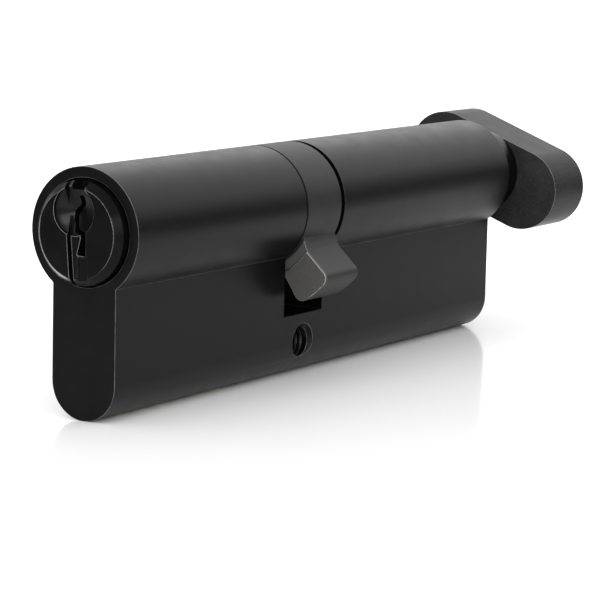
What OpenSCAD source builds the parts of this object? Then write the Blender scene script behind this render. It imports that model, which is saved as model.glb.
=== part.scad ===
// Euro profile cylinder with a keyed side and a thumbturn side.
// +X runs from the key end to the thumbturn, +Z is up and the origin is the middle of the
// fixing-screw hole. Millimetres.

/* [Body] */
// Key side, from the fixing screw to the key end face
key_side = 45; // [45:5:60]
// Turn side, from the fixing screw to the turn end face
turn_side = 55; // [40:5:70]
// Diameter of the barrel
barrel_d = 17; // [16.8:0.1:17.2]
// Height of the whole profile
profile_h = 33; // [32.8:0.1:33.2]
// Width of the web, which is also the diameter of its round bottom
web_w = 10; // [9.8:0.1:10.2]
// Width of the slot that the cam turns in
slot_w = 10; // [9.9:0.1:10.2]
// Core diameter of the tapped fixing hole
fixing_core_d = 4.2; // [4.1:0.05:4.3]

/* [Key side] */
// Diameter of the key plug and of the turn spindle
core_d = 13; // [12.8:0.1:13]
// Diameter of the plug's head and of the spindle's collar
head_d = 13.6; // [13.5:0.1:13.8]
// Diameter of the plug's flat front, inside its chamfer
front_d = 11.8; // [11.4:0.1:12.2]
// How far the plug stands out of the key end face
head_out = 1.85; // [1.6:0.05:2]
// Distance between neighbouring pin stacks
pin_pitch = 4.5; // [4.2:0.1:4.6]
// Diameter of a pin
pin_d = 2.9; // [2.85:0.01:2.95]
// Width of the long groove in the plug's front
groove_w = 0.72; // [0.5:0.01:0.9]
// Angle of that groove from upright
groove_tilt = 5; // [3:0.5:7]

/* [Cam] */
// Radius that the tip of the nose sweeps
cam_tip_r = 15.1; // [14.9:0.05:15.2]
// Angle of the nose from straight down, towards -Y
cam_angle = 40.5; // [0:0.5:90]

/* [Thumbturn] */
// Gap between the turn end face and the grip
neck_l = 6.7; // [5:0.1:10]
// Length of the grip
grip_l = 27.8; // [24:0.2:32]
// Width of the grip
grip_w = 12.7; // [12:0.1:14]
// Thickness of the grip along the barrel
grip_t = 10.1; // [9:0.1:12]
// Angle of the grip's long side above the level
grip_angle = 20.8; // [-90:0.2:90]

/* [Hidden] */
PINS = 6;
$fn = 96;
small_fn = 48;
eps = 0.01;
over = 1; // how far a cutter runs past the face that it opens
fit_gap = 0.05; // clearance of parts that slide or that are held in one another
end_gap = 0.2; // clearance in front of an end that must never touch

coat = "#2b2c2e";
bare_steel = "#6d6c6a";
brass = "#b9a15c";
spring_steel = "#a9acb0";

// Body
barrel_r = barrel_d / 2;
web_r = web_w / 2;
axis_z = profile_h - barrel_r - web_r; // height of the barrel's axis above the fixing hole
slot_x = slot_w / 2;
slot_clear = 0.3; // gap between the slot's floor and the nose
slot_floor = cam_tip_r + slot_clear; // radius at the slot's floor
bore_r = core_d / 2 + 0.03;
head_clear = 0.3; // gap round the head and the collar
counterbore_r = head_d / 2 + head_clear;
counterbore_l = 2.2;
fixing_r = fixing_core_d / 2;
fixing_chamfer = 0.6;

// Plug head and spindle collar, which both run in a counterbore
core_r = core_d / 2;
head_r = head_d / 2;
front_r = front_d / 2;
head_gap = 0.2; // clearance behind the head and the collar
front_chamfer = 0.95; // length of the chamfer along X
front_x = -key_side - head_out;

// Keyway's cross-section as [y, height above the axis], with its wards
keyway_outline = [
    [-1.58, -2.75], [-0.2, -2.75], [-0.22, -2.35], [-0.4, -1.8], [-0.57, -1.1], [-0.73, -0.5],
    [-0.62, -0.12], [0.1, 0.02], [0.55, 0.1], [0.62, 0.5], [0.68, 1.1], [1.05, 1.75],
    [1.1, 2.75], [0.7, 3.25], [0.05, 3.7], [-0.05, 4.25], [0.1, 4.9],
    [-0.7, 4.9], [-0.85, 4.1], [-0.75, 3.6], [-0.18, 3.25], [0.35, 2.7], [0.4, 2.1],
    [0.3, 1.5], [0.1, 0.85], [-0.2, 0.5], [-0.7, 0.32], [-1.58, 0.28]];

// Shapes cut into the plug's front
scoop_at = [0.4, 2.9];
scoop_r = 3.2;
scoop_wall = 0.4; // straight wall round the scoop
scoop_depth = 1.5;
scoop_foot_r = 0.15; // radius of the scoop's cone at its full depth
groove_at = 1.17;
groove_top = 6.75; // above this the groove stays closed
groove_depth = 1;
notch = [-1.3, 0.95, 5.65]; // its two sides and its floor
notch_depth = 2.3;
panel = [-1.85, -0.25, -2.95]; // its two sides and its top
panel_depth = 0.2;

// Retaining rings, beside the cam
ring_t = 0.8;
ring_r = 7.3;
groove_r = 5.85;
ring_gap = 0.05; // play between a ring and what it touches
ring_opening = 2.4; // width of the gap in a ring
key_ring_x = -slot_x + ring_gap;
turn_ring_x = slot_x - ring_gap - ring_t;
groove_l = ring_t + 2 * ring_gap;

// Cam
cam_x0 = -slot_x + 0.25;
cam_x1 = slot_x - 1;
cam_pocket_l = 1.35; // hollow that holds the key-side ring
cam_pocket_gap = 0.3; // clearance round that ring
cam_web_x = [-1.2, 1.0]; // wall with the drive slot
cam_bore_r = 4.3;
cam_relief_r = 10.15;
cam_relief = 0.35;
nose_root = [3.3, 7.4]; // half width and distance from the axis
nose_waist = [2.5, 10];
nose_bend = [2.6, 9.2]; // where the side turns from the root towards the waist
nose_wide = 2.95;
nose_corner_r = 1.2;

// Coupler
plug_end_x = cam_x0 + cam_pocket_l - end_gap;
coupler_r = 3;
coupler_bore_x = -12.5;
coupler_x = [coupler_bore_x + 0.3, plug_end_x - fit_gap];
coupler_foot = [1, 1.6]; // length of the tapered foot and its radius
tongue = [1.55, 2.4, 8]; // length, width and height
web_slot_gap = 0.1; // gap between the tongue and the cam's drive slot
coupler_hole_r = 1.3;
coupler_hole_l = 4;

// Turn spindle
stub_r = 6;
lug = [2.2, 3, 13.6]; // length, width and height of the lug that drives the cam
stub_x = cam_web_x[1] + end_gap;
lug_x = stub_x + 0.3;
grip_x = turn_side + neck_l;
tail_r = 4; // end of the spindle inside the grip
tail_l = 8;
tail_flat = 3.4; // distance of the grub screw's flat from the axis
grub_r = 1.5;
grub_sunk = 0.25; // depth of the grub screw below the grip's edge
grub_socket = [0.87, 1.35]; // radius over the corners and depth

// Pin stacks
pin_r = pin_d / 2;
chamber_r = pin_r + fit_gap;
first_pin_x = -key_side + 6.5;
chamber_top = 1.2; // top of the plug's pin chambers, above the barrel's axis
key_pin_foot = -core_r + 0.2; // foot of each key pin, just inside the plug
driver_head = -core_r - 0.1; // head of each driver pin, just outside it
key_pin_l = [4.4, 5.2, 3.8, 4.8, 5.6, 4.1];
stack_l = 10; // key pin and driver pin together
chamber_plug_top = -2.2;
driver_travel = 3;

// Springs
wire_r = 0.2;
pin_spring_r = 1.12;
coupler_spring_r = 0.95;
wire_sides = 6;
coil_steps = 14;

function pin_x(i) = first_pin_x + (i - 1) * pin_pitch;
function driver_l(i) = stack_l - key_pin_l[i - 1];
function driver_foot(i) = axis_z + driver_head - driver_l(i);

// Turns a solid made along +Z so that it lies along +X on the barrel's axis, starting at x
module along_x(x) translate([x, 0, axis_z]) rotate([0, 90, 0]) children();

// Disc or tube on the barrel's axis between two places on X
module shaft(x0, x1, r) along_x(x0) cylinder(h = x1 - x0, r = r);
module taper(x0, x1, r0, r1) along_x(x0) cylinder(h = x1 - x0, r1 = r0, r2 = r1);

// Extrudes an outline given as [y, height above the barrel's axis] between two places on X
module prism(x0, x1, outline)
    translate([x0, 0, axis_z]) rotate([90, 0, 90]) linear_extrude(height = x1 - x0) polygon(outline);

// Box centred on the barrel's axis
module cross_bar(x0, x1, w, h) translate([x0, -w / 2, axis_z - h / 2]) cube([x1 - x0, w, h]);

// Round spring along +Z between two heights, as one swept wire
module coil(r, z0, z1, turns) {
    steps = turns * coil_steps;
    low = z0 + wire_r + eps;
    rise = z1 - z0 - 2 * (wire_r + eps);
    ring = function(k) [for (s = [0:wire_sides - 1])
        let (a = 360 * k / coil_steps, b = 360 * s / wire_sides, q = r + wire_r * cos(b))
        [q * cos(a), q * sin(a), low + rise * k / steps + wire_r * sin(b)]];
    points = [for (k = [0:steps]) each ring(k)];
    sides = [for (k = [0:steps - 1], s = [0:wire_sides - 1])
        let (a = k * wire_sides + s, b = k * wire_sides + (s + 1) % wire_sides)
        [a, a + wire_sides, b + wire_sides, b]];
    start = [for (s = [0:wire_sides - 1]) s];
    end = [for (s = [wire_sides - 1:-1:0]) steps * wire_sides + s];
    polyhedron(points, concat(sides, [start, end]));
}

module profile_solid(x0, x1) {
    shaft(x0, x1, barrel_r);
    translate([x0, -web_r, 0]) cube([x1 - x0, web_w, axis_z]);
    translate([x0, 0, 0]) rotate([0, 90, 0]) cylinder(h = x1 - x0, r = web_r);
}

module fixing_hole() rotate([90, 0, 0]) {
    cylinder(h = web_w + 2 * over, r = fixing_r, center = true, $fn = small_fn);
    for (side = [0, 1]) mirror([0, 0, side])
        translate([0, 0, web_r - fixing_chamfer])
            cylinder(h = fixing_chamfer + eps, r1 = fixing_r, r2 = fixing_r + fixing_chamfer + eps,
                     $fn = small_fn);
}

module housing() color(coat) difference() {
    profile_solid(-key_side, turn_side);
    translate([-slot_x, -barrel_r - over, axis_z - slot_floor])
        cube([slot_w, barrel_d + 2 * over, slot_floor + barrel_r + over]);
    shaft(-key_side - over, turn_side + over, bore_r);
    shaft(-key_side - over, -key_side + counterbore_l, counterbore_r);
    shaft(turn_side - counterbore_l, turn_side + over, counterbore_r);
    fixing_hole();
    for (i = [1:PINS]) translate([pin_x(i), 0, -web_r - over])
        cylinder(h = axis_z + web_r + over - core_r / 2, r = chamber_r, $fn = small_fn);
}

module key_face_cuts() {
    translate([front_x, scoop_at[0], axis_z + scoop_at[1]]) rotate([0, 90, 0]) {
        translate([0, 0, -over]) cylinder(h = over + scoop_wall, r = scoop_r);
        translate([0, 0, scoop_wall - eps])
            cylinder(h = scoop_depth - scoop_wall, r1 = scoop_r, r2 = scoop_foot_r);
    }
    translate([front_x, groove_at, axis_z]) rotate([-groove_tilt, 0, 0])
        translate([-over, -groove_w / 2, -head_d])
            cube([over + groove_depth, groove_w, head_d + groove_top]);
    translate([front_x - over, notch[0], axis_z + notch[2]])
        cube([over + notch_depth, notch[1] - notch[0], head_r]);
    translate([front_x - over, panel[0], axis_z - head_d])
        cube([over + panel_depth, panel[1] - panel[0], head_d + panel[2]]);
}

module key_plug() color(coat) difference() {
    union() {
        shaft(-key_side + counterbore_l - head_gap - eps, plug_end_x, core_r);
        shaft(front_x + front_chamfer, -key_side + counterbore_l - head_gap, head_r);
        taper(front_x, front_x + front_chamfer + eps, front_r, head_r);
    }
    prism(front_x - over, coupler_bore_x + over, keyway_outline);
    key_face_cuts();
    for (i = [1:PINS]) translate([pin_x(i), 0, axis_z - core_r - over])
        cylinder(h = core_r + over + chamber_top, r = chamber_r, $fn = small_fn);
    shaft(coupler_bore_x, plug_end_x + over, coupler_r + fit_gap);
    cross_bar(plug_end_x - tongue[0] - end_gap, plug_end_x + over, tongue[1] + 2 * fit_gap,
              tongue[2] + 4 * fit_gap);
    difference() {
        shaft(key_ring_x - ring_gap, key_ring_x - ring_gap + groove_l, core_r + over);
        shaft(key_ring_x - over, key_ring_x + groove_l + over, groove_r);
    }
}

// Open ring that snaps into a groove
module retaining_ring(x) color(spring_steel) difference() {
    shaft(x, x + ring_t, ring_r);
    shaft(x - over, x + ring_t + over, groove_r + fit_gap);
    translate([x - over, -ring_opening / 2, axis_z])
        cube([ring_t + 2 * over, ring_opening, ring_r + over]);
}

module key_ring() retaining_ring(key_ring_x);
module turn_ring() retaining_ring(turn_ring_x);

module coupler() color(bare_steel) difference() {
    union() {
        taper(coupler_x[0], coupler_x[0] + coupler_foot[0], coupler_foot[1], coupler_r);
        shaft(coupler_x[0] + coupler_foot[0] - eps, coupler_x[1], coupler_r);
        cross_bar(coupler_x[1] - tongue[0], coupler_x[1], tongue[1], tongue[2]);
    }
    shaft(plug_end_x - coupler_hole_l, plug_end_x + over, coupler_hole_r);
}

module coupler_spring() color(spring_steel)
    translate([0, 0, axis_z]) rotate([0, 90, 0])
        coil(coupler_spring_r, plug_end_x - coupler_hole_l, stub_x + coupler_hole_l, 9);

// Nose of the cam, made upright and then swung to its angle
module cam_nose() translate([cam_x0, 0, axis_z]) rotate([180 - cam_angle, 0, 0]) rotate([90, 0, 90]) {
    corner = [nose_wide - nose_corner_r, cam_tip_r - nose_corner_r];
    corner_v = sqrt(pow(corner[1], 2) - pow(corner[0], 2));
    linear_extrude(height = cam_x1 - cam_x0) polygon([
        [-nose_root[0], nose_root[1]], nose_root, nose_bend, nose_waist,
        [nose_wide, corner_v], [-nose_wide, corner_v],
        [-nose_waist[0], nose_waist[1]], [-nose_bend[0], nose_bend[1]]]);
    for (side = [-1, 1]) translate([side * corner[0], corner_v, 0])
        cylinder(h = cam_x1 - cam_x0, r = nose_corner_r, $fn = small_fn);
    intersection() {
        cylinder(h = cam_x1 - cam_x0, r = cam_tip_r);
        linear_extrude(height = cam_x1 - cam_x0) polygon([
            [0, 0], [corner[0], corner_v] * 1.2, [-corner[0], corner_v] * 1.2]);
    }
}

module cam() color(bare_steel) difference() {
    union() {
        shaft(cam_x0, cam_x1, barrel_r);
        cam_nose();
    }
    difference() {
        shaft(cam_x0 - over, cam_x0 + cam_relief, cam_relief_r);
        shaft(cam_x0 - 2 * over, cam_x0 + over, barrel_r);
    }
    shaft(cam_x0 - over, cam_x0 + cam_pocket_l, ring_r + cam_pocket_gap);
    shaft(cam_x0, cam_web_x[0], cam_bore_r);
    cross_bar(cam_web_x[0] - over, cam_web_x[1] + over,
              tongue[1] + 2 * web_slot_gap, tongue[2] + 4 * web_slot_gap);
    shaft(cam_web_x[1], cam_x1 + over, stub_r + 0.1);
    cross_bar(cam_web_x[1], cam_x1 + over, lug[1] + 2 * fit_gap, lug[2] + 2 * fit_gap);
}

module turn_spindle() color(coat) difference() {
    union() {
        shaft(stub_x, turn_ring_x, stub_r);
        cross_bar(lug_x, lug_x + lug[0], lug[1], lug[2]);
        shaft(turn_ring_x - ring_gap - eps, turn_ring_x + ring_t + ring_gap + eps, groove_r);
        shaft(turn_ring_x + ring_t + ring_gap, grip_x, core_r);
        shaft(turn_side - counterbore_l + head_gap, turn_side, head_r);
        difference() {
            shaft(grip_x - eps, grip_x + tail_l, tail_r);
            grip_frame() translate([grip_x, -tail_r - over, -tail_flat - tail_r])
                cube([tail_l + over, 2 * (tail_r + over), tail_r]);
        }
    }
    shaft(stub_x - over, stub_x + coupler_hole_l, coupler_hole_r);
}

// Moves a solid made with the grip level about the X axis into its place
module grip_frame() translate([0, 0, axis_z]) rotate([grip_angle, 0, 0]) children();

module thumbturn() color(coat) grip_frame() difference() {
    union() {
        for (side = [-1, 1]) translate([grip_x, side * (grip_l - grip_w) / 2, 0])
            rotate([0, 90, 0]) cylinder(h = grip_t, r = grip_w / 2);
        translate([grip_x, -(grip_l - grip_w) / 2, -grip_w / 2])
            cube([grip_t, grip_l - grip_w, grip_w]);
    }
    translate([grip_x - over, 0, 0]) rotate([0, 90, 0])
        cylinder(h = tail_l + end_gap + over, r = tail_r + fit_gap);
    translate([grip_x + tail_l / 2, 0, -grip_w / 2 - over])
        cylinder(h = grip_w / 2 + over, r = grub_r + fit_gap, $fn = small_fn);
}

module grub_screw() color(bare_steel) grip_frame() difference() {
    outer = -grip_w / 2 + grub_sunk;
    translate([grip_x + tail_l / 2, 0, outer])
        cylinder(h = -tail_flat - fit_gap - outer, r = grub_r, $fn = small_fn);
    translate([grip_x + tail_l / 2, 0, outer - over])
        linear_extrude(height = over + grub_socket[1]) circle(r = grub_socket[0], $fn = 6);
}

module key_pin(i) color(brass) translate([pin_x(i), 0, axis_z + key_pin_foot]) {
    foot = 0.3;
    tip = 0.9;
    tip_r = 0.55;
    straight = key_pin_l[i - 1] - foot - tip;
    cylinder(h = foot, r1 = pin_r - foot, r2 = pin_r, $fn = small_fn);
    translate([0, 0, foot]) cylinder(h = straight, r = pin_r, $fn = small_fn);
    translate([0, 0, foot + straight]) cylinder(h = tip, r1 = pin_r, r2 = tip_r, $fn = small_fn);
}

module driver_pin(i) color(bare_steel) translate([pin_x(i), 0, driver_foot(i)]) {
    edge = 0.25;
    straight = driver_l(i) - 2 * edge;
    cylinder(h = edge, r1 = pin_r - edge, r2 = pin_r, $fn = small_fn);
    translate([0, 0, edge]) cylinder(h = straight, r = pin_r, $fn = small_fn);
    translate([0, 0, edge + straight]) cylinder(h = edge, r1 = pin_r, r2 = pin_r - edge, $fn = small_fn);
}

module pin_spring(i) color(spring_steel)
    translate([pin_x(i), 0, 0]) coil(pin_spring_r, chamber_plug_top, driver_foot(i), 8);

module chamber_plug(i) color(brass) intersection() {
    translate([pin_x(i), 0, -web_r - over])
        cylinder(h = chamber_plug_top + web_r + over, r = chamber_r, $fn = small_fn);
    profile_solid(-key_side, turn_side);
}

housing();
key_plug();
key_ring();
coupler();
coupler_spring();
cam();
turn_spindle();
turn_ring();
thumbturn();
grub_screw();
for (i = [1:PINS]) {
    key_pin(i);
    driver_pin(i);
    pin_spring(i);
    chamber_plug(i);
}
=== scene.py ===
import math

import bmesh
import bpy
from mathutils import Matrix, Vector


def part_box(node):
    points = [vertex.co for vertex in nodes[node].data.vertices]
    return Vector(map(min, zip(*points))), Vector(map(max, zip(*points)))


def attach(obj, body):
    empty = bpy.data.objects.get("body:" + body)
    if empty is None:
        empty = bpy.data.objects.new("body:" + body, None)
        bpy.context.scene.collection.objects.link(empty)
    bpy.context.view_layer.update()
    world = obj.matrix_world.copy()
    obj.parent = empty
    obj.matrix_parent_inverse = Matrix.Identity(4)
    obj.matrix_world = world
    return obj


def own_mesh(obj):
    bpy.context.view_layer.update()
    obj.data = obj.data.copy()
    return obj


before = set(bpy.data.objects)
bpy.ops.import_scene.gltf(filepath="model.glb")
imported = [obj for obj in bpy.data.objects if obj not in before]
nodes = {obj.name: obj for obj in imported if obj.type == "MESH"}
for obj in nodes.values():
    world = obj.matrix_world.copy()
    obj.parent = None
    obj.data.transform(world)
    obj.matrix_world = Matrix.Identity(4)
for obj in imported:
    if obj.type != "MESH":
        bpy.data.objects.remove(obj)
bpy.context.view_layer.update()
scene = bpy.context.scene
scene.view_settings.view_transform = "Standard"
MM = 0.001

# ---------------------------------------------------------------- where things are, in millimetres
BARREL_RADIUS = 8.5  # the cam's ring has it too
AXIS_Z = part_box("housing")[1].z / MM - BARREL_RADIUS
SLOT_HALF = 5  # the cam slot's half width
SLOT_FLOOR = 15.4  # radius from the barrel's axis
PLUG_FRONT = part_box("key_plug")[0].x / MM
PLUG_FACE_RADIUS = 5.9  # the plug's flat front, inside its cone
PANEL_SIDE = -0.25  # y of the panel's +Y side
PANEL_TOP = -2.95  # height above the barrel's axis
NOSE_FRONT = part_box("cam")[0].x / MM
NOSE_ANGLE = math.radians(40.5)  # the cam's nose, from straight down towards -Y
NOSE_STEP = 10.15  # radius at which the nose's key-side face steps forward
NOSE_TIP = 15.1  # radius

# ---------------------------------------------------------------- camera, in metres
CAMERA_AZIMUTH = math.radians(-57.95)
CAMERA_ELEVATION = math.radians(8.81)
CAMERA_ROLL = math.radians(1.34)
CAMERA_DISTANCE = 0.3726
CAMERA_TARGET = Vector((0.00707, 0.0, 0.00464))
CAMERA_LENS = 153.85  # millimetres
CAMERA_SENSOR = 36  # millimetres


def make_camera():
    data = bpy.data.cameras.new("camera")
    data.lens = CAMERA_LENS
    data.sensor_width = CAMERA_SENSOR
    data.clip_start = 0.01
    data.clip_end = 20
    camera = bpy.data.objects.new("camera", data)
    scene.collection.objects.link(camera)
    flat = math.cos(CAMERA_ELEVATION)
    back = Vector((math.sin(CAMERA_AZIMUTH) * flat, -math.cos(CAMERA_AZIMUTH) * flat,
                   math.sin(CAMERA_ELEVATION)))
    aim = back.to_track_quat("Z", "Y").to_matrix().to_4x4()
    place = Matrix.Translation(CAMERA_TARGET + back * CAMERA_DISTANCE)
    camera.matrix_world = place @ aim @ Matrix.Rotation(CAMERA_ROLL, 4, "Z")
    scene.camera = camera


make_camera()


# ---------------------------------------------------------------- shader helpers
def grey(value):
    return (value, value, value)


def shade(colour, factor):
    return [min(1, c * factor) for c in colour]


class Nodes:
    """Short ways to add shader nodes to one tree."""

    def __init__(self, tree):
        self.tree = tree

    def add(self, kind, **settings):
        node = self.tree.nodes.new("ShaderNode" + kind)
        for name, value in settings.items():
            setattr(node, name, value)
        return node

    def put(self, value, socket):
        if isinstance(value, bpy.types.NodeSocket):
            self.tree.links.new(value, socket)
        else:
            socket.default_value = value

    def place(self, stretch=(1, 1, 1)):
        """Object coordinates in millimetres, stretched along each axis."""
        mapping = self.add("Mapping")
        self.put(self.add("TexCoord").outputs["Object"], mapping.inputs["Vector"])
        mapping.inputs["Scale"].default_value = [1000 * s for s in stretch]
        return mapping.outputs["Vector"]

    def split(self, vector):
        node = self.add("SeparateXYZ")
        self.put(vector, node.inputs[0])
        return node.outputs

    def noise(self, scale, detail=3, stretch=(1, 1, 1), roughness=0.5):
        node = self.add("TexNoise")
        self.put(self.place(stretch), node.inputs["Vector"])
        node.inputs["Scale"].default_value = scale
        node.inputs["Detail"].default_value = detail
        node.inputs["Roughness"].default_value = roughness
        return node.outputs["Fac"]

    def math(self, operation, a, b=0.0):
        node = self.add("Math", operation=operation)
        self.put(a, node.inputs[0])
        self.put(b, node.inputs[1])
        return node.outputs[0]

    def product(self, first, *others):
        for other in others:
            first = self.math("MULTIPLY", first, other)
        return first

    def invert(self, value):
        return self.math("SUBTRACT", 1.0, value)

    def length(self, a, b):
        """Length of the vector (a, b)."""
        return self.math("SQRT", self.math("ADD", self.product(a, a), self.product(b, b)))

    def span(self, value, low, high, to_low=0.0, to_high=1.0):
        """Goes smoothly from to_low to to_high as value goes from low to high."""
        node = self.add("MapRange", interpolation_type="SMOOTHSTEP")
        self.put(value, node.inputs["Value"])
        self.put(low, node.inputs["From Min"])
        self.put(high, node.inputs["From Max"])
        self.put(to_low, node.inputs["To Min"])
        self.put(to_high, node.inputs["To Max"])
        return node.outputs["Result"]

    def blend(self, fac, a, b):
        node = self.add("Mix", data_type="RGBA")
        self.put(fac, node.inputs[0])
        for colour, socket in ((a, node.inputs[6]), (b, node.inputs[7])):
            self.put(colour if isinstance(colour, bpy.types.NodeSocket) else (*colour, 1), socket)
        return node.outputs[2]

    def bump(self, height, strength, distance, below=None):
        node = self.add("Bump")
        node.inputs["Strength"].default_value = strength
        node.inputs["Distance"].default_value = distance * MM
        self.put(height, node.inputs["Height"])
        if below is not None:
            self.put(below, node.inputs["Normal"])
        return node.outputs["Normal"]

    def axis_place(self):
        """In millimetres: x, y, the height above the barrel's axis and the radius from it."""
        x, y, z = self.split(self.place())
        up = self.math("SUBTRACT", z, AXIS_Z)
        return x, y, up, self.length(y, up)

    def edge_wear(self, width):
        """From 0 on a flat face to 1 at a sharp edge, within that many millimetres of it."""
        soft = self.add("Bevel", samples=6)
        soft.inputs["Radius"].default_value = width * MM
        true = self.add("NewGeometry").outputs["Normal"]
        dot = self.add("VectorMath", operation="DOT_PRODUCT")
        self.put(soft.outputs["Normal"], dot.inputs[0])
        self.put(true, dot.inputs[1])
        return self.span(dot.outputs["Value"], 0.995, 0.9)


def new_material(name):
    material = bpy.data.materials.new(name)
    material.use_nodes = True
    tree = material.node_tree
    return material, Nodes(tree), tree.nodes["Principled BSDF"]


# ---------------------------------------------------------------- black coat
COAT_SHINE = 0.1
WORN_COAT = (0.55, 0.54, 0.52)
DRAWN_ALONG_X = (0.06, 1, 1)
DRAWN_ALONG_Z = (1, 1, 0.08)


def slot_painted_shade(n, wear):
    """Painted shade: the coat loses its shine and its rubbed edges in the cam slot and on the barrel's edge
    at the cam's key side, so these stay dark and show no highlight.
    """
    x, _, up, _ = n.axis_place()
    # painted shade over the slot's walls and floor and over the barrel's edge beside it
    painted_shade = n.product(n.span(x, -SLOT_HALF - 0.25, -SLOT_HALF - 0.15),
                     n.span(x, SLOT_HALF + 0.04, SLOT_HALF + 0.02),
                     n.span(up, -SLOT_FLOOR - 0.1, -SLOT_FLOOR), 0.85)
    return n.product(wear, n.invert(painted_shade)), painted_shade


def plug_wear_and_light(n, wear):
    """Keys and fingers rub only the plug's front: most at the cone's low +Y rim, less on the keyway's -Y
    side and hardly round the panel. This rubbing is real wear and also a painted highlight, strongest where
    highlights fall, and the rim's band is a painted highlight. The cone has painted shade at its upper
    -Y side: less shine."""
    x, y, up, radius = n.axis_place()
    # painted shade: the cone's upper -Y side loses shine
    painted_shade = n.product(n.span(radius, PLUG_FACE_RADIUS, PLUG_FACE_RADIUS + 0.2), n.span(y, 0.5, -1.0),
                     n.span(up, -4.0, 0.5), 0.65)
    panel = n.product(n.span(y, PANEL_SIDE + 0.3, PANEL_SIDE + 0.1), n.span(up, PANEL_TOP + 0.2, PANEL_TOP))
    # rubbed edges, weaker on the keyway's -Y side: wear, and also a painted highlight where highlights fall
    inner = n.product(n.span(y, -1.5, -1.0, 0.2, 1.0), n.invert(n.product(panel, 0.85)))
    outer = n.math("MAXIMUM", n.span(up, -4.8, -3.4, 0.1, 0.75), n.span(y, 0.0, 1.0))
    outer = n.product(outer, n.span(radius, PLUG_FACE_RADIUS - 0.5, PLUG_FACE_RADIUS - 0.3))
    wear = n.product(wear, n.span(x, PLUG_FRONT + 0.4, PLUG_FRONT + 0.1), n.math("MAXIMUM", inner, outer))
    low_side = n.span(n.math("SUBTRACT", y, n.product(up, 0.6)), 4.5, 5.5)
    # painted highlight: a brighter rubbed band on the cone's low +Y rim
    rim = n.product(low_side, n.span(radius, PLUG_FACE_RADIUS - 0.15, PLUG_FACE_RADIUS + 0.05),
                    n.span(x, PLUG_FRONT + 0.6, PLUG_FRONT + 0.25, 0.0, 0.8))
    return n.math("MAXIMUM", wear, rim), painted_shade


def coat_material(name, edge, rubbing, tint=0.0013, shine=COAT_SHINE, rough=0.3, grain=DRAWN_ALONG_X,
                  finish=None):
    """Satin black coat over metal: fine drawn lines, faint mottling and rubbed edges."""
    material, n, shader = new_material(name)
    tint = (tint, tint, tint * 1.04)
    lines = n.noise(5.0, 4, grain, 0.6)
    mottle = n.span(n.noise(0.35, 3), 0.3, 0.7)
    fine = n.noise(9.0, 2)
    wear = n.product(n.edge_wear(0.12), n.span(n.noise(1.4, 3), 0.25, 0.6, 0.3, 0.7))
    if edge:
        wear = n.math("MAXIMUM", n.span(n.noise(1.1, 3), 0.3, 0.65, 0.35, 1.0), wear)
    # the hook may also give a painted shade mask, which takes shine away, besides wear
    if finish:
        wear, painted_shade = finish(n, wear)
        shine = n.product(n.invert(painted_shade), shine)
    rubbed = n.product(wear, rubbing)
    base = n.blend(mottle, tint, shade(tint, 1.35))
    base = n.blend(n.product(n.span(lines, 0.45, 0.8), 0.35), base, shade(tint, 4))
    n.put(n.blend(rubbed, base, WORN_COAT), shader.inputs["Base Color"])
    n.put(n.product(rubbed, 0.9), shader.inputs["Metallic"])
    roughness = n.math("ADD", rough - 0.06, n.product(lines, 0.1))
    roughness = n.math("ADD", roughness, n.product(mottle, 0.05))
    n.put(n.math("SUBTRACT", roughness, n.product(rubbed, 0.08)), shader.inputs["Roughness"])
    n.put(shine, shader.inputs["Specular IOR Level"])
    n.put(n.bump(fine, 0.1, 0.01, n.bump(lines, 0.12, 0.02)), shader.inputs["Normal"])
    return material


# ---------------------------------------------------------------- steel and brass
CAM_STEEL = grey(0.01)
NOSE_SIDE = (0.016, 0.0158, 0.0155)
# painted light: the nose's key-side face, paler than its sides
NOSE_LIT_FACE = (0.05, 0.049, 0.048)
# painted shade in the crease at the nose's step
STEP_SHADE = grey(0.008)
WORN_STEEL = (0.42, 0.41, 0.4)


def nose_wear_and_light(n, base, wear, grain, cloud):
    """The cam is dark in the barrel's line and grey on its nose. Its key-side face is painted paler as
    painted light, and a dark line of painted shade runs along its step. Only that face's edges are bright:
    most on the -Y side, less above the step, and in dots at the tip."""
    x, y, up, radius = n.axis_place()
    key_side = n.span(x, NOSE_FRONT + 0.6, NOSE_FRONT + 0.4)
    side = n.blend(grain, shade(NOSE_SIDE, 0.75), shade(NOSE_SIDE, 1.25))
    # painted light: a paler grey for the key-side face
    face = n.blend(grain, shade(NOSE_LIT_FACE, 0.75), shade(NOSE_LIT_FACE, 1.25))
    cloudy_radius = n.math("ADD", radius, n.product(n.math("SUBTRACT", cloud, 0.5), 0.8))
    base = n.blend(n.span(cloudy_radius, BARREL_RADIUS + 0.2, BARREL_RADIUS + 0.8), base, side)
    base = n.blend(n.product(n.span(radius, BARREL_RADIUS + 0.1, BARREL_RADIUS + 0.4), key_side), base, face)
    # painted shade: a dark line along the step on the key-side face
    step = n.span(n.math("ABSOLUTE", n.math("SUBTRACT", radius, NOSE_STEP - 0.05)), 0.22, 0.06)
    base = n.blend(n.product(step, key_side), base, STEP_SHADE)
    across = n.math("SUBTRACT", n.product(up, math.sin(NOSE_ANGLE)), n.product(y, math.cos(NOSE_ANGLE)))
    dots = n.span(n.noise(2.2, 1), 0.44, 0.52, 0.15, 1.0)
    wear = n.product(wear, n.span(x, NOSE_FRONT + 1.0, NOSE_FRONT + 0.4),
                     n.span(radius, BARREL_RADIUS + 0.2, BARREL_RADIUS + 0.5),
                     n.span(radius, NOSE_STEP - 0.15, NOSE_STEP + 0.15, 0.4, 1.0),
                     n.span(across, -1.5, -0.5, 0.25, 1.0),
                     n.math("MAXIMUM", n.span(radius, NOSE_TIP - 0.2, NOSE_TIP - 0.4), dots))
    return base, wear


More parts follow.
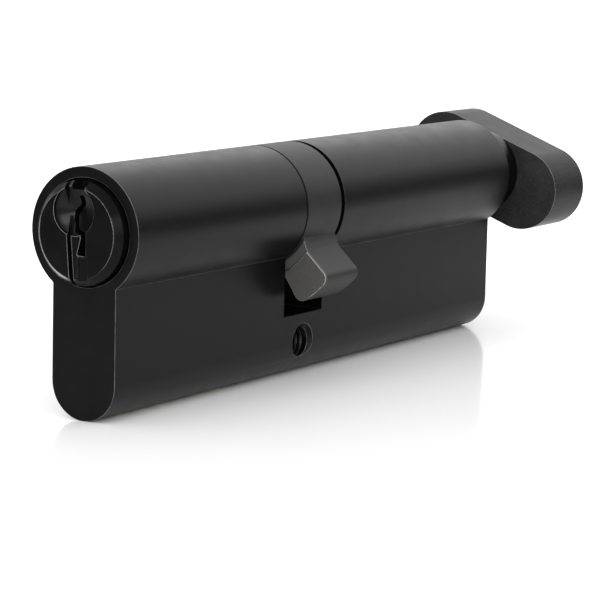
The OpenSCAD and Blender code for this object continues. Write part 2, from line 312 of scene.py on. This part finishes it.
def steel_material(name, colour, rough, metal, speck, edge=False, finish=None):
    """Sintered or drawn steel: open grey grain with small pores and rubbed edges."""
    material, n, shader = new_material(name)
    grain = n.noise(3.2, 4, roughness=0.65)
    cloud = n.noise(0.5, 3)
    pores = n.add("TexVoronoi")
    n.put(n.place(), pores.inputs["Vector"])
    pores.inputs["Scale"].default_value = 2.6
    pits = n.span(pores.outputs["Distance"], 0.16, 0.05)
    wear = n.edge_wear(0.16)
    if edge:
        wear = n.math("MAXIMUM", wear, 0.8)
    base = n.blend(n.span(cloud, 0.3, 0.7), shade(colour, 0.82), shade(colour, 1.15))
    base = n.blend(n.product(n.span(grain, 0.35, 0.7), speck), base, shade(colour, 1.6))
    # the hook may paint light and shade into the base colour, as well as wear
    if finish:
        base, wear = finish(n, base, wear, grain, cloud)
    base = n.blend(n.product(pits, speck), base, shade(colour, 0.35))
    n.put(n.blend(n.product(wear, 0.75), base, WORN_STEEL), shader.inputs["Base Color"])
    shader.inputs["Metallic"].default_value = metal
    n.put(n.math("ADD", rough, n.product(grain, 0.15)), shader.inputs["Roughness"])
    shader.inputs["Specular IOR Level"].default_value = 0.11
    n.put(n.bump(pits, 0.35, -0.03, n.bump(grain, 0.25, 0.03)), shader.inputs["Normal"])
    return material


def metal_material(name, colour, rough, stretch, tarnish):
    """Turned or drawn bright metal: fine tool lines, patchy tarnish and brighter edges."""
    material, n, shader = new_material(name)
    lines = n.noise(6.0, 3, stretch, 0.6)
    patches = n.span(n.noise(0.6, 4), 0.4, 0.75)
    base = n.blend(patches, colour, tarnish)
    base = n.blend(n.product(lines, 0.25), base, shade(colour, 1.25))
    base = n.blend(n.product(n.edge_wear(0.08), 0.5), base, shade(colour, 1.35))
    n.put(base, shader.inputs["Base Color"])
    shader.inputs["Metallic"].default_value = 1.0
    n.put(n.math("ADD", rough, n.product(patches, 0.18)), shader.inputs["Roughness"])
    n.put(n.bump(lines, 0.15, 0.01), shader.inputs["Normal"])
    return material


# ---------------------------------------------------------------- finish of the CAD nodes
WELD_DISTANCE = 0.0005
SHARP_ANGLE = math.radians(28)


def finish_node(name, face, edge, width, segments=2):
    """Rounds a CAD node's sharp edges with modifiers and gives its faces and its edges their materials."""
    node = nodes[name]
    mesh = node.data
    if "custom_normal" in mesh.attributes:
        mesh.attributes.remove(mesh.attributes["custom_normal"])
    mesh.materials.clear()
    mesh.materials.append(face)
    mesh.materials.append(edge)
    for polygon in mesh.polygons:
        polygon.material_index = 0
        polygon.use_smooth = True
    weld = node.modifiers.new("weld", "WELD")
    weld.merge_threshold = WELD_DISTANCE * MM
    if width:
        bevel = node.modifiers.new("bevel", "BEVEL")
        bevel.width = width * MM
        bevel.segments = segments
        bevel.limit_method = "ANGLE"
        bevel.angle_limit = SHARP_ANGLE
        bevel.use_clamp_overlap = True
        bevel.material = 1
        bevel.harden_normals = True
    normals = node.modifiers.new("normals", "WEIGHTED_NORMAL")
    normals.weight = 100
    normals.keep_sharp = False


def coat_pair(name, face_rubbing, edge_rubbing, **look):
    """The same coat for faces and for rounded edges, which are rubbed."""
    return (coat_material(name, False, face_rubbing, **look),
            coat_material(name + "_edge", True, edge_rubbing, **look))


def cam_steel(name, edge):
    return steel_material(name, CAM_STEEL, 0.34, 0.0, 0.5, edge, nose_wear_and_light)


body_coat, body_edge = coat_pair("body_coat", 0.12, 0.18, finish=slot_painted_shade)
plug_coat, plug_edge = coat_pair("plug_coat", 0.6, 0.6, rough=0.2, grain=DRAWN_ALONG_Z, finish=plug_wear_and_light)
grip_coat, grip_edge = coat_pair("grip_coat", 0.1, 0.45, tint=0.013, shine=0.03)
drawn = steel_material("blued_steel", (0.05, 0.05, 0.052), 0.3, 0.8, 0.3)
screw = steel_material("screw_steel", (0.02, 0.02, 0.021), 0.3, 0.7, 0.25)
spring = metal_material("spring_wire", (0.55, 0.55, 0.56), 0.22, (1, 1, 1), (0.36, 0.35, 0.34))
brass = metal_material("turned_brass", (0.72, 0.52, 0.23), 0.24, (1, 1, 6), (0.42, 0.29, 0.13))
pin_steel = metal_material("turned_steel", (0.5, 0.5, 0.5), 0.24, (1, 1, 6), (0.33, 0.32, 0.3))

finish_node("housing", body_coat, body_edge, 0.1)
finish_node("key_plug", plug_coat, plug_edge, 0.12)
finish_node("turn_spindle", body_coat, body_edge, 0.1)
finish_node("thumbturn", grip_coat, grip_edge, 0.22, 3)
finish_node("cam", cam_steel("sintered_steel", False), cam_steel("sintered_steel_edge", True), 0.12)
finish_node("coupler", drawn, drawn, 0.08)
finish_node("grub_screw", screw, screw, 0.06)
for ring in ("key_ring", "turn_ring"):
    finish_node(ring, drawn, drawn, 0.06)
finish_node("coupler_spring", spring, spring, 0)
for i in range(1, 7):
    finish_node(f"key_pin_{i}", brass, brass, 0.05)
    finish_node(f"driver_pin_{i}", pin_steel, pin_steel, 0.05)
    finish_node(f"pin_spring_{i}", spring, spring, 0)
    finish_node(f"chamber_plug_{i}", brass, brass, 0.05)


# ---------------------------------------------------------------- springs
def press_spring(name, along):
    """Gives a coil spring its own copy of its mesh."""
    axis = Vector((0, 0, 0))
    axis[along] = 1
    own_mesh(nodes[name])


press_spring("coupler_spring", 0)
for i in range(1, 7):
    press_spring(f"pin_spring_{i}", 2)

# ---------------------------------------------------------------- thread in the fixing hole, in millimetres
THREAD_PITCH = 0.8
THREAD_HALF = 0.42 * THREAD_PITCH  # half width of the ridge's foot
THREAD_CORE = 2.1  # radius of the CAD hole
THREAD_FOOT = THREAD_CORE + 0.02  # sunk into the metal
THREAD_CREST = 1.96
THREAD_CREST_HALF = 0.06
THREAD_START = THREAD_CORE + 0.01  # the crest's radius at both ends, where the ridge fades
THREAD_FADE = 1 / 3  # of a turn
THREAD_END = 4.35  # where the mouth's chamfer begins
THREAD_STEPS = 40  # in a turn


def thread_row(turn, turns):
    """Places of the ridge's four corners after that many turns."""
    angle = 2 * math.pi * turn
    middle = -THREAD_END + THREAD_HALF + THREAD_PITCH * turn
    fade = min(1.0, turn / THREAD_FADE, (turns - turn) / THREAD_FADE)
    crest = THREAD_START + (THREAD_CREST - THREAD_START) * fade
    corners = ((-THREAD_HALF, THREAD_FOOT), (-THREAD_CREST_HALF, crest),
               (THREAD_CREST_HALF, crest), (THREAD_HALF, THREAD_FOOT))
    return [Vector((r * math.cos(angle), middle + along, r * math.sin(angle))) * MM for along, r in corners]


def make_thread():
    """One helical ridge along the fixing hole's wall, its foot sunk a little into the metal."""
    count = int(2 * (THREAD_END - THREAD_HALF) / THREAD_PITCH * THREAD_STEPS)
    mesh = bmesh.new()
    rows = []
    for step in range(count + 1):
        corners = thread_row(step / THREAD_STEPS, count / THREAD_STEPS)
        rows.append([mesh.verts.new(corner) for corner in corners])
    for a, b in zip(rows, rows[1:]):
        for s in range(4):
            t = (s + 1) % 4
            mesh.faces.new((a[s], a[t], b[t], b[s]))
    mesh.faces.new(rows[0])
    mesh.faces.new(rows[-1][::-1])
    bmesh.ops.recalc_face_normals(mesh, faces=mesh.faces)
    data = bpy.data.meshes.new("fixing_thread")
    mesh.to_mesh(data)
    mesh.free()
    thread = bpy.data.objects.new("fixing_thread", data)
    scene.collection.objects.link(thread)
    data.materials.append(body_coat)
    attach(thread, "body")


make_thread()

# ---------------------------------------------------------------- floor and light, in metres
FLOOR_HALF = 3.0
FLOOR_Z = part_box("housing")[0].z
BODY_HALF = 0.05
REAR = (0.848, 0.53)  # x and y of the way to the room's bright rear
PALE_REACH = (0.06, 0.22)  # where the pale floor begins and ends to darken, from the origin
NEAR_REACH = (0.041, 0.065)  # where the tone close to the object turns into the pale one
# painted shadow on the floor close to the object
CONTACT_SHADE_TONE = grey(0.64)
PALE_TONE = grey(0.93)
# painted shade on the floor far from the object, where less light falls
FAR_SHADE_TONE = grey(0.26)
ROOM_LIGHT = 0.16
STUDIO_LIGHT = 1.96  # overhead, on top of the room's


def make_floor():
    """Pale floor, a little darker close to the object (a painted shadow) and darker far from it (painted
    shade, where less light falls), except towards the rear.
    """
    corners = [(-FLOOR_HALF, -FLOOR_HALF, FLOOR_Z), (FLOOR_HALF, -FLOOR_HALF, FLOOR_Z),
               (FLOOR_HALF, FLOOR_HALF, FLOOR_Z), (-FLOOR_HALF, FLOOR_HALF, FLOOR_Z)]
    mesh = bpy.data.meshes.new("floor")
    mesh.from_pydata(corners, [], [(0, 1, 2, 3)])
    floor = bpy.data.objects.new("floor", mesh)
    scene.collection.objects.link(floor)
    material, n, shader = new_material("pale_floor")
    x, y, _ = n.split(n.add("TexCoord").outputs["Object"])
    past_end = n.math("MAXIMUM", n.math("SUBTRACT", n.math("ABSOLUTE", x), BODY_HALF), 0.0)
    gap = n.length(past_end, y)
    along = n.math("ADD", n.product(x, REAR[0]), n.product(y, REAR[1]))
    across = n.math("ABSOLUTE", n.math("SUBTRACT", n.product(x, REAR[1]), n.product(y, REAR[0])))
    # painted light: the floor stays pale in a band towards the bright rear
    lit_rear = n.span(n.math("SUBTRACT", across, n.product(along, 0.2)), 0.2, 0.05)
    lit_rear = n.product(lit_rear, n.span(along, 0.0, 0.1))
    # the pale, lit part of the floor; beyond it lies painted shade
    pale = n.math("MAXIMUM", n.span(n.length(x, y), PALE_REACH[1], PALE_REACH[0]), lit_rear)
    # painted shadow close to the object
    near = n.blend(n.span(gap, NEAR_REACH[0], NEAR_REACH[1]), CONTACT_SHADE_TONE, PALE_TONE)
    n.put(n.blend(pale, FAR_SHADE_TONE, near), shader.inputs["Base Color"])
    shader.inputs["Roughness"].default_value = 0.14
    shader.inputs["Specular IOR Level"].default_value = 0.3
    mesh.materials.append(material)


def make_world():
    """Soft studio room: bright overhead and behind the object, dimmer round the horizon in front. The
    overhead light begins higher towards +Y."""
    world = bpy.data.worlds.new("studio")
    scene.world = world
    world.use_nodes = True
    n = Nodes(world.node_tree)
    x, y, z = n.split(n.add("TexCoord").outputs["Generated"])
    rear = n.math("ADD", n.product(x, REAR[0]), n.product(y, REAR[1]))
    overhead = n.span(n.math("SUBTRACT", z, n.span(y, 0.4, 0.9, 0.0, 0.3)), 0.0, 0.4)
    behind = n.product(n.span(rear, 0.6, 0.95), 0.45)
    light = n.math("MAXIMUM", overhead, behind)
    background = world.node_tree.nodes["Background"]
    background.inputs["Color"].default_value = (1, 1, 1, 1)
    n.put(n.math("ADD", ROOM_LIGHT, n.product(light, STUDIO_LIGHT)), background.inputs["Strength"])


def area_light(name, direction, distance, width, height, radiance):
    """A soft box in that direction from the origin, turned towards it."""
    data = bpy.data.lights.new(name, "AREA")
    data.shape = "RECTANGLE"
    data.size = width
    data.size_y = height
    data.energy = radiance * math.pi * width * height
    light = bpy.data.objects.new(name, data)
    scene.collection.objects.link(light)
    direction = Vector(direction).normalized()
    light.location = direction * distance
    light.rotation_euler = direction.to_track_quat("Z", "Y").to_euler()


make_floor()
make_world()
area_light("key_side_softbox", (-0.96, 0.08, 0.25), 0.6, 0.18, 0.2, 9)
area_light("fill_softbox", (-0.8, -0.55, 0.25), 0.6, 0.5, 0.3, 6)
